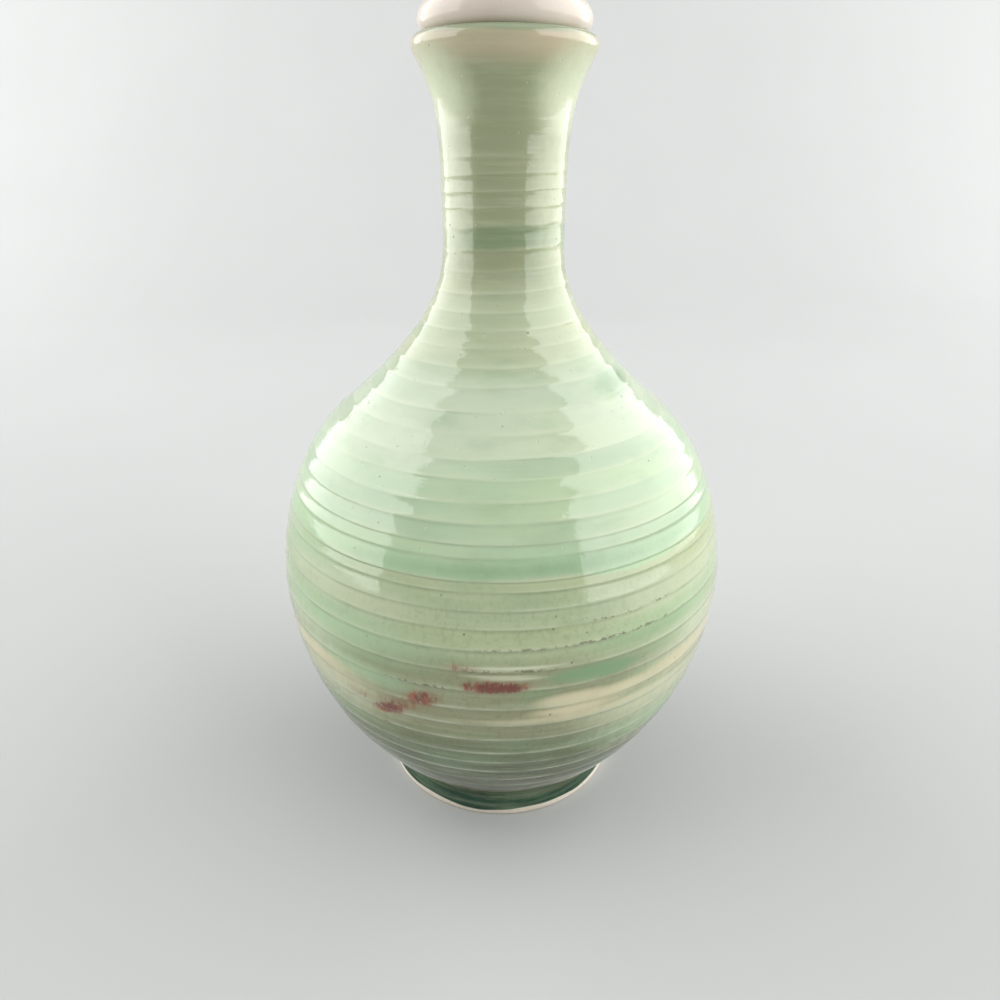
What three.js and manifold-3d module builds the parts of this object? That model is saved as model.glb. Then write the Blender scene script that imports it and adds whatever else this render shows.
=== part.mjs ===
// A ceramic oil lamp: a thrown bottle with throwing ridges, and a porcelain wick holder that
// lifts out of its mouth with its cork sleeve, brass wick tube and wick.
// Millimetres, +Z up. The origin is the centre of the foot ring, on the table, and -Y is the front.
import * as THREE from 'three';
import { mergeVertices } from 'three/addons/utils/BufferGeometryUtils.js';
import Module from 'manifold-3d';

// Driving dimensions of the bottle
const BELLY_RADIUS = 75;
const BELLY_HEIGHT = 86;
const FOOT_RADIUS = 43;
const FOOT_HEIGHT = 8;
const SHOULDER_RADIUS = 52.5;
const SHOULDER_HEIGHT = 140;
const NECK_RADIUS = 18.3;
const NECK_HEIGHT = 196;
const LIP_RADIUS = 26;
const LIP_HEIGHT = 243.6;
const WALL = 4.8;
const FLOOR_HEIGHT = 13;
const FOOT_RECESS_RADIUS = 35;
const FOOT_RECESS_DEPTH = 5;

// Throwing ridges: one helix, level for its first half turn. These are its heights at the front,
// turn by turn, read off the photograph; the last one is only where it would go on to.
const RIDGE_HEIGHTS = [
  8, 15.5, 22.5, 29.5, 36, 42.5, 48.5, 54, 61, 67.5, 74, 81, 87.5, 94, 100, 105, 110, 112.5, 118.5,
  121.5, 126.5, 131, 136, 140, 145, 149.5, 155, 159.5, 164, 168.5, 173, 178, 184, 189.5, 196, 201,
  205, 209.5, 214,
];
const RIDGE_HEIGHT = 0.6;
const NECK_RIDGE_HEIGHT = 0.4;
const RIDGE_LIP = 0.45;

// Driving dimensions of the wick holder and what it carries
const DISC_RADIUS = 23.8;
const DISC_THICKNESS = 9.2;
const DISC_BOTTOM = 242.6;
const STEM_RADIUS = 9;
const STEM_BOTTOM = 206;
const CORK_BOTTOM = 199;
const CORK_TOP = 221;
const TUBE_RADIUS = 3.7;
const TUBE_BORE_RADIUS = 2.9;
const TUBE_BOTTOM = 195;
const TUBE_TOP = 258.5;
const FLANGE_RADIUS = 8;
const FLANGE_THICKNESS = 1.2;
const WASHER_RADIUS = 7.6;
const WASHER_THICKNESS = 1;
const NUT_ACROSS_FLATS = 12;
const NUT_THICKNESS = 4;
const WICK_RADIUS = 2.5;
const WICK_BOTTOM = 24;
const WICK_TOP = 263;
const GAP = 0.3;

// Numbers of faces
const BOTTLE_SEGMENTS = 40;
const ROUND_SEGMENTS = 32;
const SMALL_SEGMENTS = 20;

const { lerp, clamp, mapLinear } = THREE.MathUtils;

const wasm = await Module();
wasm.setup();

// A closed geometry as a solid that can be cut and joined
function toSolid(geometry) {
  const bare = geometry.clone();
  bare.deleteAttribute('normal');
  bare.deleteAttribute('uv');
  const merged = mergeVertices(bare, 1e-4);
  return new wasm.Manifold(new wasm.Mesh({
    numProp: 3,
    vertProperties: new Float32Array(merged.attributes.position.array),
    triVerts: new Uint32Array(merged.index.array),
  }));
}

// The solid back as a geometry
function toGeometry(solid) {
  const mesh = solid.getMesh();
  const geometry = new THREE.BufferGeometry();
  geometry.setAttribute('position', new THREE.BufferAttribute(mesh.vertProperties, 3));
  geometry.setIndex(new THREE.BufferAttribute(mesh.triVerts, 1));
  geometry.computeVertexNormals();
  return geometry;
}

// A turned shape about Z from points of radius and height
function turned(points, segments) {
  const geometry = new THREE.LatheGeometry(points, segments);
  geometry.rotateX(Math.PI / 2);
  return geometry;
}

function point(radius, height) {
  return new THREE.Vector2(radius, height);
}

function bezier(start, startPull, endPull, end) {
  return new THREE.CubicBezierCurve(point(...start), point(...startPull), point(...endPull), point(...end));
}

// A value read off a list of [position, value] pairs, straight between them
function readOff(pairs, position) {
  const last = pairs.length - 1;
  let i = 0;
  while (i < last - 1 && pairs[i + 1][0] < position) {
    i += 1;
  }
  const [from, to] = [pairs[i], pairs[i + 1]];
  const share = clamp((position - from[0]) / (to[0] - from[0]), 0, 1);
  return lerp(from[1], to[1], share);
}

// The bottle's outer outline, from the foot to the crest of the lip
const lowerBody = bezier(
  [FOOT_RADIUS - 1, FOOT_HEIGHT],
  [FOOT_RADIUS + 4, FOOT_HEIGHT + 9],
  [BELLY_RADIUS, BELLY_HEIGHT - 45],
  [BELLY_RADIUS, BELLY_HEIGHT],
);
const upperBody = bezier(
  [BELLY_RADIUS, BELLY_HEIGHT],
  [BELLY_RADIUS, BELLY_HEIGHT + 5],
  [SHOULDER_RADIUS + 20.5, SHOULDER_HEIGHT - 17],
  [SHOULDER_RADIUS, SHOULDER_HEIGHT],
);
const shoulder = bezier(
  [SHOULDER_RADIUS, SHOULDER_HEIGHT],
  [SHOULDER_RADIUS - 36, SHOULDER_HEIGHT + 30],
  [NECK_RADIUS, NECK_HEIGHT - 14],
  [NECK_RADIUS, NECK_HEIGHT],
);
const neck = bezier(
  [NECK_RADIUS, NECK_HEIGHT],
  [NECK_RADIUS, NECK_HEIGHT + 30],
  [LIP_RADIUS - 6.3, LIP_HEIGHT - 15],
  [LIP_RADIUS - 0.3, LIP_HEIGHT - 3.6],
);
const lip = bezier(
  [LIP_RADIUS - 0.3, LIP_HEIGHT - 3.6],
  [LIP_RADIUS + 0.5, LIP_HEIGHT - 2.1],
  [LIP_RADIUS - 0.6, LIP_HEIGHT],
  [LIP_RADIUS - 2.4, LIP_HEIGHT],
);
const SAMPLES = 40;
const outline = [lowerBody, upperBody, shoulder, neck]
  .flatMap((curve) => curve.getPoints(SAMPLES))
  .map((p) => [p.y, p.x]);

// The hollow's outline, from the floor to the mouth, one wall inside the outer one
const HOLLOW_FLOOR_RADIUS = 20;
const MOUTH_RADIUS = 21.4;
const hollowBelly = bezier(
  [HOLLOW_FLOOR_RADIUS, FLOOR_HEIGHT],
  [FOOT_RADIUS + 4, FLOOR_HEIGHT + 1],
  [BELLY_RADIUS - WALL, BELLY_HEIGHT - 42],
  [BELLY_RADIUS - WALL, BELLY_HEIGHT],
);
const hollowShoulder = bezier(
  [BELLY_RADIUS - WALL, BELLY_HEIGHT],
  [BELLY_RADIUS - WALL, BELLY_HEIGHT + 5],
  [SHOULDER_RADIUS + 17.2, SHOULDER_HEIGHT - 20.8],
  [SHOULDER_RADIUS - 3.2, SHOULDER_HEIGHT - 3.8],
);
const hollowNeck = bezier(
  [SHOULDER_RADIUS - 3.2, SHOULDER_HEIGHT - 3.8],
  [SHOULDER_RADIUS - 39.2, SHOULDER_HEIGHT + 26.2],
  [NECK_RADIUS - WALL, NECK_HEIGHT - 16],
  [NECK_RADIUS - WALL, NECK_HEIGHT],
);
const hollowMouth = bezier(
  [NECK_RADIUS - WALL, NECK_HEIGHT],
  [NECK_RADIUS - WALL, NECK_HEIGHT + 26],
  [MOUTH_RADIUS - 5.2, LIP_HEIGHT - 12],
  [MOUTH_RADIUS, LIP_HEIGHT - 0.8],
);
const mouthOutline = hollowMouth.getPoints(SAMPLES).map((p) => [p.y, p.x]);

// The ridge line as [turn, height] pairs. A turn starts at the back, so the front is half a turn on.
const ridgeLine = [[0, RIDGE_HEIGHTS[0]], ...RIDGE_HEIGHTS.map((height, turn) => [turn + 0.5, height])];

// The bottle's outer skin: level rows at the foot and the lip, and between them two vertices in
// each turn of the ridge, its edge and the hollow under the next edge
function bottleSkin() {
  const positions = [];
  const faces = [];
  const segments = BOTTLE_SEGMENTS;

  function addVertex(radius, height, turn) {
    const angle = 2 * Math.PI * turn;
    positions.push(-radius * Math.sin(angle), radius * Math.cos(angle), height);
    return positions.length / 3 - 1;
  }
  function addRow(radius, height) {
    const row = [];
    for (let s = 0; s < segments; s += 1) {
      row.push(addVertex(radius, height, s / segments));
    }
    row.push(row[0]);
    return row;
  }
  function addQuads(lower, upper) {
    for (let s = 0; s < segments; s += 1) {
      faces.push(lower[s], lower[s + 1], upper[s + 1]);
      faces.push(lower[s], upper[s + 1], upper[s]);
    }
  }
  function addStack(rows) {
    const made = rows.map(([radius, height]) => addRow(radius, height));
    for (let i = 1; i < made.length; i += 1) {
      addQuads(made[i - 1], made[i]);
    }
    return made;
  }

  const turns = RIDGE_HEIGHTS.length - 2;
  const steps = turns * segments;
  const heightAt = (turn) => readOff(ridgeLine, turn);
  const swell = (height) => {
    const neckward = clamp((height - SHOULDER_HEIGHT) / (NECK_HEIGHT - SHOULDER_HEIGHT), 0, 1);
    return lerp(RIDGE_HEIGHT, NECK_RIDGE_HEIGHT, neckward) / 2;
  };
  const edge = [];
  const hollow = [];
  for (let i = 0; i <= steps; i += 1) {
    const turn = i / segments;
    const edgeHeight = heightAt(turn);
    const hollowHeight = heightAt(turn + 1) - RIDGE_LIP;
    edge.push(addVertex(readOff(outline, edgeHeight) + swell(edgeHeight), edgeHeight, turn));
    hollow.push(addVertex(readOff(outline, hollowHeight) - swell(hollowHeight), hollowHeight, turn));
  }
  for (let i = 0; i < steps; i += 1) {
    faces.push(edge[i], edge[i + 1], hollow[i + 1]);
    faces.push(edge[i], hollow[i + 1], hollow[i]);
  }
  for (let i = 0; i < steps - segments; i += 1) {
    faces.push(hollow[i], hollow[i + 1], edge[i + segments + 1]);
    faces.push(hollow[i], edge[i + segments + 1], edge[i + segments]);
  }

  const footRows = addStack([
    [FOOT_RADIUS - 1.6, 0],
    [FOOT_RADIUS - 0.4, 0.8],
    [FOOT_RADIUS - 0.5, 3],
    [FOOT_RADIUS - 0.9, RIDGE_HEIGHTS[0] - 2],
  ]);
  const footTop = footRows.at(-1);
  addQuads(footTop, edge.slice(0, segments + 1));
  faces.push(footTop[0], edge[0], hollow[0]);
  faces.push(footTop[0], hollow[0], edge[segments]);

  const lipStart = heightAt(turns + 1) + 2;
  const smoothNeck = [];
  for (let i = 0; i < 7; i += 1) {
    const height = mapLinear(i, 0, 7, lipStart, LIP_HEIGHT - 3.6);
    smoothNeck.push([readOff(outline, height), height]);
  }
  const lipRows = addStack([...smoothNeck, ...lip.getPoints(5).map((p) => [p.x, p.y])]);
  const lipBottom = lipRows[0];
  addQuads(hollow.slice(steps - segments), lipBottom);
  faces.push(hollow[steps - segments], lipBottom[0], hollow[steps]);
  faces.push(hollow[steps - segments], hollow[steps], edge[steps]);

  const footCentre = addVertex(0, 0, 0);
  const lipCentre = addVertex(0, LIP_HEIGHT, 0);
  const footEdge = footRows[0];
  const lipEdge = lipRows.at(-1);
  for (let s = 0; s < segments; s += 1) {
    faces.push(footCentre, footEdge[s + 1], footEdge[s]);
    faces.push(lipCentre, lipEdge[s], lipEdge[s + 1]);
  }

  const geometry = new THREE.BufferGeometry();
  geometry.setAttribute('position', new THREE.Float32BufferAttribute(positions, 3));
  geometry.setIndex(faces);
  return geometry;
}

// The hollow inside the bottle, open through the mouth
function bottleHollow() {
  const above = LIP_HEIGHT + 10;
  const rim = MOUTH_RADIUS + 1.5;
  const outlinePoints = [
    point(0, FLOOR_HEIGHT),
    ...hollowBelly.getPoints(8),
    ...hollowShoulder.getPoints(5).slice(1),
    ...hollowNeck.getPoints(7).slice(1),
    ...hollowMouth.getPoints(8).slice(1),
    point(rim, LIP_HEIGHT),
    point(rim + 1, above),
    point(0, above),
  ];
  return turned(outlinePoints, BOTTLE_SEGMENTS);
}

function bottleGeometry() {
  const recess = turned([
    point(0, -1),
    point(FOOT_RECESS_RADIUS + 0.4, -1),
    point(FOOT_RECESS_RADIUS - 0.8, FOOT_RECESS_DEPTH - 1),
    point(FOOT_RECESS_RADIUS - 2.5, FOOT_RECESS_DEPTH),
    point(0, FOOT_RECESS_DEPTH),
  ], BOTTLE_SEGMENTS);
  const solid = toSolid(bottleSkin())
    .subtract(toSolid(bottleHollow()))
    .subtract(toSolid(recess));
  return toGeometry(solid);
}

// The porcelain disc with its round edge, and the stem below it, with a bore for the tube
function holderGeometry() {
  const edgeRadius = DISC_THICKNESS / 2;
  const edgeCentre = DISC_BOTTOM + edgeRadius;
  const discTop = DISC_BOTTOM + DISC_THICKNESS;
  const bore = TUBE_RADIUS + GAP;
  const roundEdge = new THREE.EllipseCurve(
    DISC_RADIUS - edgeRadius, edgeCentre, edgeRadius, edgeRadius, -Math.PI / 2, Math.PI / 2,
  );
  const fillet = new THREE.EllipseCurve(
    STEM_RADIUS + 2, DISC_BOTTOM - 2, 2, 2, Math.PI, Math.PI / 2, true,
  );
  return turned([
    point(bore, STEM_BOTTOM),
    point(STEM_RADIUS - 0.8, STEM_BOTTOM),
    point(STEM_RADIUS, STEM_BOTTOM + 0.8),
    ...fillet.getPoints(3),
    ...roundEdge.getPoints(12),
    point(bore + 0.6, discTop),
    point(bore, discTop - 0.6),
    point(bore, STEM_BOTTOM),
  ], BOTTLE_SEGMENTS);
}

// The cork sleeve, shaped to the flare of the neck
function corkGeometry() {
  const bore = STEM_RADIUS + GAP;
  const steps = 6;
  const outside = [];
  for (let i = 0; i <= steps; i += 1) {
    const height = lerp(CORK_BOTTOM, CORK_TOP - 0.8, i / steps);
    outside.push(point(readOff(mouthOutline, height) - GAP - 0.1, height));
  }
  return turned([
    point(bore, CORK_BOTTOM),
    ...outside,
    point(outside.at(-1).x - 0.8, CORK_TOP),
    point(bore, CORK_TOP),
    point(bore, CORK_BOTTOM),
  ], BOTTLE_SEGMENTS);
}

// The brass tube, with the flange that stands on the disc
function tubeGeometry() {
  const discTop = DISC_BOTTOM + DISC_THICKNESS;
  const flangeBottom = discTop + 2 * GAP + WASHER_THICKNESS;
  const flangeTop = flangeBottom + FLANGE_THICKNESS;
  return turned([
    point(TUBE_BORE_RADIUS, TUBE_BOTTOM),
    point(TUBE_RADIUS - 0.3, TUBE_BOTTOM),
    point(TUBE_RADIUS, TUBE_BOTTOM + 0.3),
    point(TUBE_RADIUS, flangeBottom),
    point(FLANGE_RADIUS - 0.2, flangeBottom),
    point(FLANGE_RADIUS, flangeBottom + 0.4),
    point(FLANGE_RADIUS - 0.4, flangeTop),
    point(TUBE_RADIUS + 0.5, flangeTop + 0.2),
    point(TUBE_RADIUS, flangeTop + 0.8),
    point(TUBE_RADIUS, TUBE_TOP - 0.3),
    point(TUBE_RADIUS - 0.3, TUBE_TOP),
    point(TUBE_BORE_RADIUS, TUBE_TOP),
    point(TUBE_BORE_RADIUS, TUBE_BOTTOM),
  ], ROUND_SEGMENTS);
}

function washerGeometry() {
  const bore = TUBE_RADIUS + GAP;
  return turned([
    point(bore, 0),
    point(WASHER_RADIUS, 0),
    point(WASHER_RADIUS, WASHER_THICKNESS),
    point(bore, WASHER_THICKNESS),
    point(bore, 0),
  ], ROUND_SEGMENTS);
}

// A hexagon nut with chamfered corners
function nutGeometry() {
  const corner = NUT_ACROSS_FLATS / 2 / Math.cos(Math.PI / 6);
  const hexagon = new THREE.Shape();
  for (let i = 0; i < 6; i += 1) {
    const angle = (Math.PI / 3) * i;
    hexagon.lineTo(corner * Math.cos(angle), corner * Math.sin(angle));
  }
  hexagon.closePath();
  const prism = new THREE.ExtrudeGeometry(hexagon, { depth: NUT_THICKNESS, bevelEnabled: false });
  const chamfer = turned([
    point(0, 0),
    point(NUT_ACROSS_FLATS / 2, 0),
    point(corner + 0.1, 0.7),
    point(corner + 0.1, NUT_THICKNESS - 0.7),
    point(NUT_ACROSS_FLATS / 2, NUT_THICKNESS),
    point(0, NUT_THICKNESS),
  ], ROUND_SEGMENTS);
  const bore = new THREE.CylinderGeometry(
    TUBE_RADIUS + GAP, TUBE_RADIUS + GAP, 2 * NUT_THICKNESS, ROUND_SEGMENTS,
  );
  bore.rotateX(Math.PI / 2);
  bore.translate(0, 0, NUT_THICKNESS / 2);
  return toGeometry(toSolid(prism).intersect(toSolid(chamfer)).subtract(toSolid(bore)));
}

// The wick, straight from its trimmed, rounded head to the end near the bottle's floor
function wickGeometry() {
  return turned([
    point(0, WICK_BOTTOM),
    point(WICK_RADIUS, WICK_BOTTOM),
    point(WICK_RADIUS, WICK_TOP - 1.2),
    point(WICK_RADIUS - 0.5, WICK_TOP - 0.3),
    point(WICK_RADIUS - 1.3, WICK_TOP),
    point(0, WICK_TOP),
  ], SMALL_SEGMENTS);
}

function material(color, roughness, metalness) {
  return new THREE.MeshStandardMaterial({ color, roughness, metalness });
}

const celadonGlaze = material('#a3c4a0', 0.1, 0);
const porcelain = material('#efe4dc', 0.12, 0);
const cork = material('#b8895a', 0.85, 0);
const brass = material('#c8a14a', 0.3, 1);
const fibre = material('#6b3a2c', 0.8, 0);
const cotton = material('#ece6d6', 0.95, 0);

function named(name, geometry, look, height = 0) {
  const mesh = new THREE.Mesh(geometry, look);
  mesh.name = name;
  mesh.position.z = height;
  return mesh;
}

const discTop = DISC_BOTTOM + DISC_THICKNESS;
const stemWasherBottom = STEM_BOTTOM - GAP - WASHER_THICKNESS;

const wickAssembly = new THREE.Group();
wickAssembly.add(
  named('wick_holder', holderGeometry(), porcelain),
  named('wick_tube', tubeGeometry(), brass),
  named('flange_washer', washerGeometry(), fibre, discTop + GAP),
  named('stem_washer', washerGeometry(), fibre, stemWasherBottom),
  named('tube_nut', nutGeometry(), brass, stemWasherBottom - GAP - NUT_THICKNESS),
  named('wick', wickGeometry(), cotton),
);

const lamp = new THREE.Group();
lamp.add(
  named('bottle', bottleGeometry(), celadonGlaze),
  named('cork_sleeve', corkGeometry(), cork),
  wickAssembly,
);

export default lamp;
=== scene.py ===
"""Dresses the ceramic oil lamp: a thrown celadon bottle and the porcelain wick holder in its mouth."""
import math

import bmesh
import bpy
from mathutils import Matrix, Vector, noise


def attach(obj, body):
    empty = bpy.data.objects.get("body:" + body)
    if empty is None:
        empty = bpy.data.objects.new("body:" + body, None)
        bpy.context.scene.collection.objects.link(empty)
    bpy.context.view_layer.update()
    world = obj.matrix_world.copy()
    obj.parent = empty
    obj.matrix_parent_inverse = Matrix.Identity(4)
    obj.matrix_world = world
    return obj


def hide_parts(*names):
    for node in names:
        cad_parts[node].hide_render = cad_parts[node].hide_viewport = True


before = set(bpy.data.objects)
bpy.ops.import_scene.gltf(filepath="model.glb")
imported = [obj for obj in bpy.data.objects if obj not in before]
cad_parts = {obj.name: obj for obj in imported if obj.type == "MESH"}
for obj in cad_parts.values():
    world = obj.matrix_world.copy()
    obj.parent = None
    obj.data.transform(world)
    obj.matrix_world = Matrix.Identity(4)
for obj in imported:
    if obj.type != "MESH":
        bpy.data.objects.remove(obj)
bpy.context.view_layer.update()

MM = 0.001
FULL_TURN = 2 * math.pi

# The photograph's camera, in metres, worked out from its perspective
CAMERA_BACK = 0.2394
CAMERA_HEIGHT = 0.2138
CAMERA_PITCH = math.radians(24.62)
CAMERA_ROLL = math.radians(0.33)
FOCAL_LENGTH_IN_PIXELS = 751
PHOTO_WIDTH = 1000
CAMERA_SIDEWAYS = -0.0006
SENSOR_WIDTH = 36

# The bottle, in millimetres, as its solid has it
BELLY_RADIUS = 75
BELLY_HEIGHT = 86
FOOT_RADIUS = 43
FOOT_HEIGHT = 8
SHOULDER_RADIUS = 52.5
SHOULDER_HEIGHT = 140
NECK_RADIUS = 18.3
NECK_HEIGHT = 196
LIP_RADIUS = 26
LIP_HEIGHT = 243.6
MOUTH_RADIUS = 21.4
WALL = 4.8
FLOOR_HEIGHT = 13
HOLLOW_FLOOR_RADIUS = 20
FOOT_RECESS_RADIUS = 35
FOOT_RECESS_DEPTH = 5

# The throwing ridges: one helix, its heights at the front turn by turn, and how far it stands out
RIDGE_HEIGHTS = [8, 15.5, 22.5, 29.5, 36, 42.5, 48.5, 54, 61, 67.5, 74, 81, 87.5, 94, 100, 105, 110,
                 112.5, 118.5, 121.5, 126.5, 131, 136, 140, 145, 149.5, 155, 159.5, 164, 168.5, 173, 178,
                 184, 189.5, 196, 201, 205, 209.5, 214]
RIDGE_HEIGHT = 0.6
NECK_RIDGE_HEIGHT = 0.4
RIDGES_FROM = 6
RIDGES_TO = 221
# From one ridge line up to the next, how far the clay stands out at that share of the rise:
# a ledge on the lower body, where the wall was ribbed, and a soft crest higher up
LEDGE = [(0, 0.7), (0.05, 0.85), (0.16, 0.62), (0.3, 0.35), (0.45, 0.1), (0.6, -0.2), (0.75, -0.55),
         (0.86, -0.8), (0.94, -0.25), (1, 0.7)]
CREST = [(0, 1), (0.05, 0.94), (0.16, 0.35), (0.3, -0.35), (0.45, -0.72), (0.6, -0.78), (0.75, -0.42),
         (0.86, 0.2), (0.94, 0.75), (1, 1)]
# Up the bottle, where the ledges turn into crests and where the ridges get lower
CRESTS_FROM = 112
CRESTS_WHOLE_FROM = 132
SHOULDER_SOFTENS_TO = 128
NECK_SOFTENS_FROM = 170
NECK_SOFTENS_TO = 190
# How much the ridges vary round the bottle, as a share of their height
UNEVENNESS = 1.1

# How many columns each piece has round its axis, and how close together, in metres, points are welded
BOTTLE_COLUMNS = 180
HOLDER_COLUMNS = 96
TUBE_COLUMNS = 48
WICK_COLUMNS = 24
WELD = 1e-7
WINDING_WELD = 2e-6

# The wick holder and what it carries
DISC_RADIUS = 23.8
DISC_THICKNESS = 9.2
DISC_BOTTOM = 242.6
DISC_TOP = DISC_BOTTOM + DISC_THICKNESS
STEM_RADIUS = 9
STEM_BOTTOM = 206
CORK_BOTTOM = 199
CORK_TOP = 221
TUBE_RADIUS = 3.7
TUBE_BORE_RADIUS = 2.9
TUBE_BOTTOM = 195
TUBE_TOP = 258.5
FLANGE_RADIUS = 8
FLANGE_THICKNESS = 1.2
WASHER_THICKNESS = 1
WICK_RADIUS = 2.5
WICK_BOTTOM = 24
WICK_TOP = 263
GAP = 0.3
FLANGE_WASHER_BOTTOM = DISC_TOP + GAP
FLANGE_BOTTOM = FLANGE_WASHER_BOTTOM + WASHER_THICKNESS + GAP


def read_off(pairs, position):
    """A value read off (position, value) pairs, straight between them and level past the ends."""
    if position <= pairs[0][0]:
        return pairs[0][1]
    for (before, low), (after, high) in zip(pairs, pairs[1:]):
        if position <= after:
            return low + (high - low) * (position - before) / (after - before)
    return pairs[-1][1]


def mix(low, high, share):
    return low + (high - low) * share


def smooth_step(low, high, value):
    """0 below low, 1 above high and an S curve between."""
    share = min(max((value - low) / (high - low), 0), 1)
    return share * share * (3 - 2 * share)


def bend(start, start_pull, end_pull, end, steps=40):
    """Points of radius and height along one bezier curve, both ends included."""
    points = []
    for i in range(steps + 1):
        t = i / steps
        weights = ((1 - t) ** 3, 3 * t * (1 - t) ** 2, 3 * t * t * (1 - t), t ** 3)
        corners = (start, start_pull, end_pull, end)
        points.append(tuple(sum(w * p[axis] for w, p in zip(weights, corners)) for axis in (0, 1)))
    return points


def round_off(centre, radius, start, end, steps=6):
    """Points of radius and height round an arc, its angles in degrees up from straight outwards."""
    points = []
    for i in range(steps + 1):
        angle = math.radians(mix(start, end, i / steps))
        points.append((centre[0] + radius * math.cos(angle), centre[1] + radius * math.sin(angle)))
    return points


# The bottle's outlines
lower_body = bend((FOOT_RADIUS - 1, FOOT_HEIGHT), (FOOT_RADIUS + 4, FOOT_HEIGHT + 9),
                  (BELLY_RADIUS, BELLY_HEIGHT - 45), (BELLY_RADIUS, BELLY_HEIGHT))
upper_body = bend((BELLY_RADIUS, BELLY_HEIGHT), (BELLY_RADIUS, BELLY_HEIGHT + 5),
                  (SHOULDER_RADIUS + 20.5, SHOULDER_HEIGHT - 17), (SHOULDER_RADIUS, SHOULDER_HEIGHT))
shoulder = bend((SHOULDER_RADIUS, SHOULDER_HEIGHT), (SHOULDER_RADIUS - 36, SHOULDER_HEIGHT + 30),
                (NECK_RADIUS, NECK_HEIGHT - 14), (NECK_RADIUS, NECK_HEIGHT))
neck = bend((NECK_RADIUS, NECK_HEIGHT), (NECK_RADIUS, NECK_HEIGHT + 30),
            (LIP_RADIUS - 6.3, LIP_HEIGHT - 15), (LIP_RADIUS - 0.3, LIP_HEIGHT - 3.6))
lip = bend((LIP_RADIUS - 0.3, LIP_HEIGHT - 3.6), (LIP_RADIUS + 0.5, LIP_HEIGHT - 2.1),
           (LIP_RADIUS - 0.6, LIP_HEIGHT), (LIP_RADIUS - 2.4, LIP_HEIGHT), steps=8)
hollow_belly = bend((HOLLOW_FLOOR_RADIUS, FLOOR_HEIGHT), (FOOT_RADIUS + 4, FLOOR_HEIGHT + 1),
                    (BELLY_RADIUS - WALL, BELLY_HEIGHT - 42), (BELLY_RADIUS - WALL, BELLY_HEIGHT),
                    steps=12)
hollow_shoulder = bend((BELLY_RADIUS - WALL, BELLY_HEIGHT), (BELLY_RADIUS - WALL, BELLY_HEIGHT + 5),
                       (SHOULDER_RADIUS + 17.2, SHOULDER_HEIGHT - 20.8),
                       (SHOULDER_RADIUS - 3.2, SHOULDER_HEIGHT - 3.8), steps=8)
hollow_neck = bend((SHOULDER_RADIUS - 3.2, SHOULDER_HEIGHT - 3.8),
                   (SHOULDER_RADIUS - 39.2, SHOULDER_HEIGHT + 26.2),
                   (NECK_RADIUS - WALL, NECK_HEIGHT - 16), (NECK_RADIUS - WALL, NECK_HEIGHT),
                   steps=10)
hollow_mouth = bend((NECK_RADIUS - WALL, NECK_HEIGHT), (NECK_RADIUS - WALL, NECK_HEIGHT + 26),
                    (MOUTH_RADIUS - 5.2, LIP_HEIGHT - 12), (MOUTH_RADIUS, LIP_HEIGHT - 0.8),
                    steps=12)
foot_side = [(FOOT_RADIUS - 0.4, 0.9), (FOOT_RADIUS - 0.4, 2), (FOOT_RADIUS - 0.6, 4),
             (FOOT_RADIUS - 0.9, RIDGES_FROM)]
outline = [(height, radius) for radius, height in foot_side + lower_body + upper_body + shoulder + neck]


# The ridge line by turns: a turn starts at the back, and the first half turn is level
ridge_line = [(-1, RIDGES_FROM - 2), (0, RIDGE_HEIGHTS[0])]
ridge_line += [(turn + 0.5, height) for turn, height in enumerate(RIDGE_HEIGHTS)]
ridge_line += [(len(RIDGE_HEIGHTS) + 2, RIDGES_TO + 4)]


def ridge_height_at(turn):
    return read_off(ridge_line, turn)


def chain(bm, points):
    """A line of vertices through points, and its edges."""
    verts = [bm.verts.new(point) for point in points]
    return verts + [bm.edges.new(pair) for pair in zip(verts, verts[1:])]


def spin(bm, outline_points, columns):
    """Turns an outline of radius and height, in millimetres, once round Z."""
    line = chain(bm, [(radius * MM, 0, height * MM) for radius, height in outline_points])
    bmesh.ops.spin(bm, geom=line, cent=(0, 0, 0), axis=(0, 0, 1), angle=FULL_TURN, steps=columns,
                   use_merge=True)


def wind(bm, shares, turns, columns, place):
    """Winds a skin round Z from a flat grid, with rows at those shares of each turn.

    place(turn, share) gives the radius and height, in millimetres, at that share of the way from
    the line that starts each turn to the same line one turn later. Returns (vertex, turns up to it,
    share of a turn round from the back)."""
    rows = len(shares) * len(turns) - 1
    grid = bmesh.ops.create_grid(bm, x_segments=columns, y_segments=rows, size=0.5)
    wound = []
    for vert in grid["verts"]:
        around = round((vert.co.x + 0.5) * columns) / columns
        row = round((vert.co.y + 0.5) * rows)
        turn = turns[row // len(shares)] + around
        share = shares[row % len(shares)]
        radius, height = place(turn, share)
        angle = FULL_TURN * around
        vert.co = (-radius * MM * math.sin(angle), radius * MM * math.cos(angle), height * MM)
        wound.append((vert, turn + share, around))
    return wound


def finished(name, bm, finish, smooth_angle=40):
    """Turns a bmesh into an object with that finish, smooth up to that angle between faces."""
    bmesh.ops.recalc_face_normals(bm, faces=bm.faces)
    for edge in bm.edges:
        edge.smooth = edge.calc_face_angle(0) < math.radians(smooth_angle)
    for face in bm.faces:
        face.smooth = True
    mesh = bpy.data.meshes.new(name)
    bm.to_mesh(mesh)
    bm.free()
    mesh.materials.append(finish)
    piece = bpy.data.objects.new(name, mesh)
    bpy.context.scene.collection.objects.link(piece)
    return piece


# Materials

def add(tree, kind, inputs=None, **settings):
    """Adds a node. Each input is a plain value, or a socket to wire it to."""
    made = tree.nodes.new(kind)
    for key, value in settings.items():
        setattr(made, key, value)
    for socket, value in (inputs or {}).items():
        if isinstance(value, bpy.types.NodeSocket):
            tree.links.new(value, made.inputs[socket])
        else:
            made.inputs[socket].default_value = value
    return made


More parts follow.
